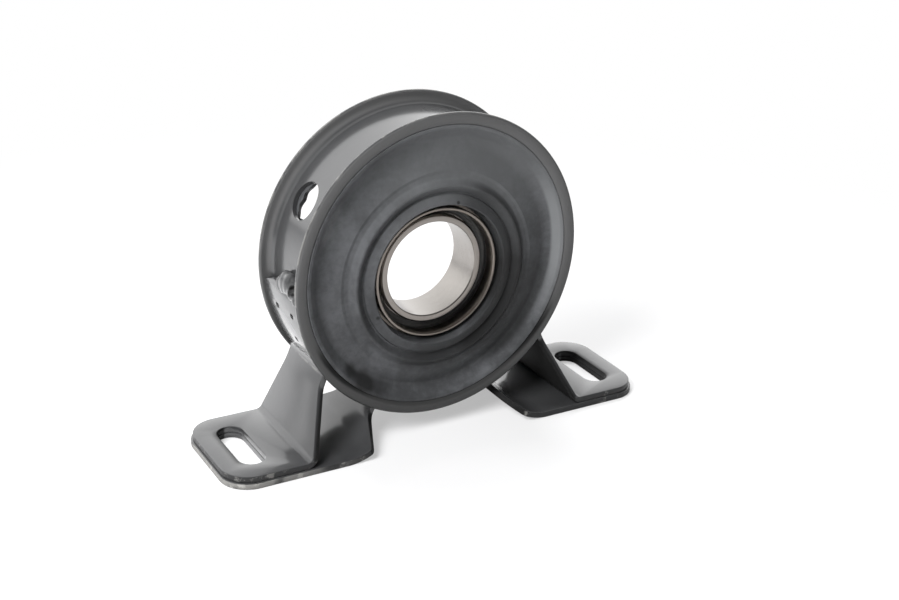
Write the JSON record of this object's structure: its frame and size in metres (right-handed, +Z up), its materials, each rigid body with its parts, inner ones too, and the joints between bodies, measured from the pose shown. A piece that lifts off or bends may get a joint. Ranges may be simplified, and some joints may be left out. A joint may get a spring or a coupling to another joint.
{
  "type": "driveshaft centre bearing",
  "caption": "Sealed ball bearing in a ring-shaped rubber mount, inside a flared steel ring on a folded sheet-metal bracket with slotted feet; carries the middle of a driveshaft.",
  "frame": {"origin": "on the plane under the feet, midway between the two foot slots and under the bore", "axes": "+Z up, +Y along the bore to the rear, +X across the feet; the picture shows the front, which faces -Y"},
  "size_m": [0.1926, 0.052, 0.135],
  "materials": {
    "painted_steel": "gloss black paint on pressed sheet steel",
    "mount_rubber": "moulded charcoal rubber, half matt",
    "race_steel": "ground bearing steel",
    "pressed_steel": "bare pressed sheet steel",
    "ball_steel": "polished bearing balls",
    "seal_rubber": "black seal rubber"
  },
  "bodies": {
    "mount": {"outer_ring": "painted_steel", "rubber_mount": "mount_rubber", "saddle_strap": "painted_steel", "left_leg": "painted_steel", "right_leg": "painted_steel", "outer_race": "race_steel", "front_seal": "seal_rubber", "rear_seal": "seal_rubber", "front_dust_shield": "pressed_steel", "rear_dust_shield": "pressed_steel"},
    "shaft_race": {"inner_race": "race_steel"},
    "ball_set": {"cage_front": "pressed_steel", "cage_rear": "pressed_steel", "cage_rivets": "pressed_steel", "ball_01": "ball_steel", "ball_02": "ball_steel", "ball_03": "ball_steel", "ball_04": "ball_steel", "ball_05": "ball_steel", "ball_06": "ball_steel", "ball_07": "ball_steel", "ball_08": "ball_steel", "ball_09": "ball_steel", "ball_10": "ball_steel", "ball_11": "ball_steel", "ball_12": "ball_steel"}
  },
  "joints": [
    {"name": "shaft_spin", "type": "hinge", "parent": "mount", "child": "shaft_race", "pos_m": [0, 0.0039, 0.068], "axis": [0, 1, 0], "continuous": true},
    {"name": "ball_set_spin", "type": "hinge", "parent": "mount", "child": "ball_set", "pos_m": [0, 0.0039, 0.068], "axis": [0, 1, 0], "continuous": true}
  ],
  "couplings": [
    {"joint": "ball_set_spin", "follows": "shaft_spin", "ratio": 0.42689}
  ]
}
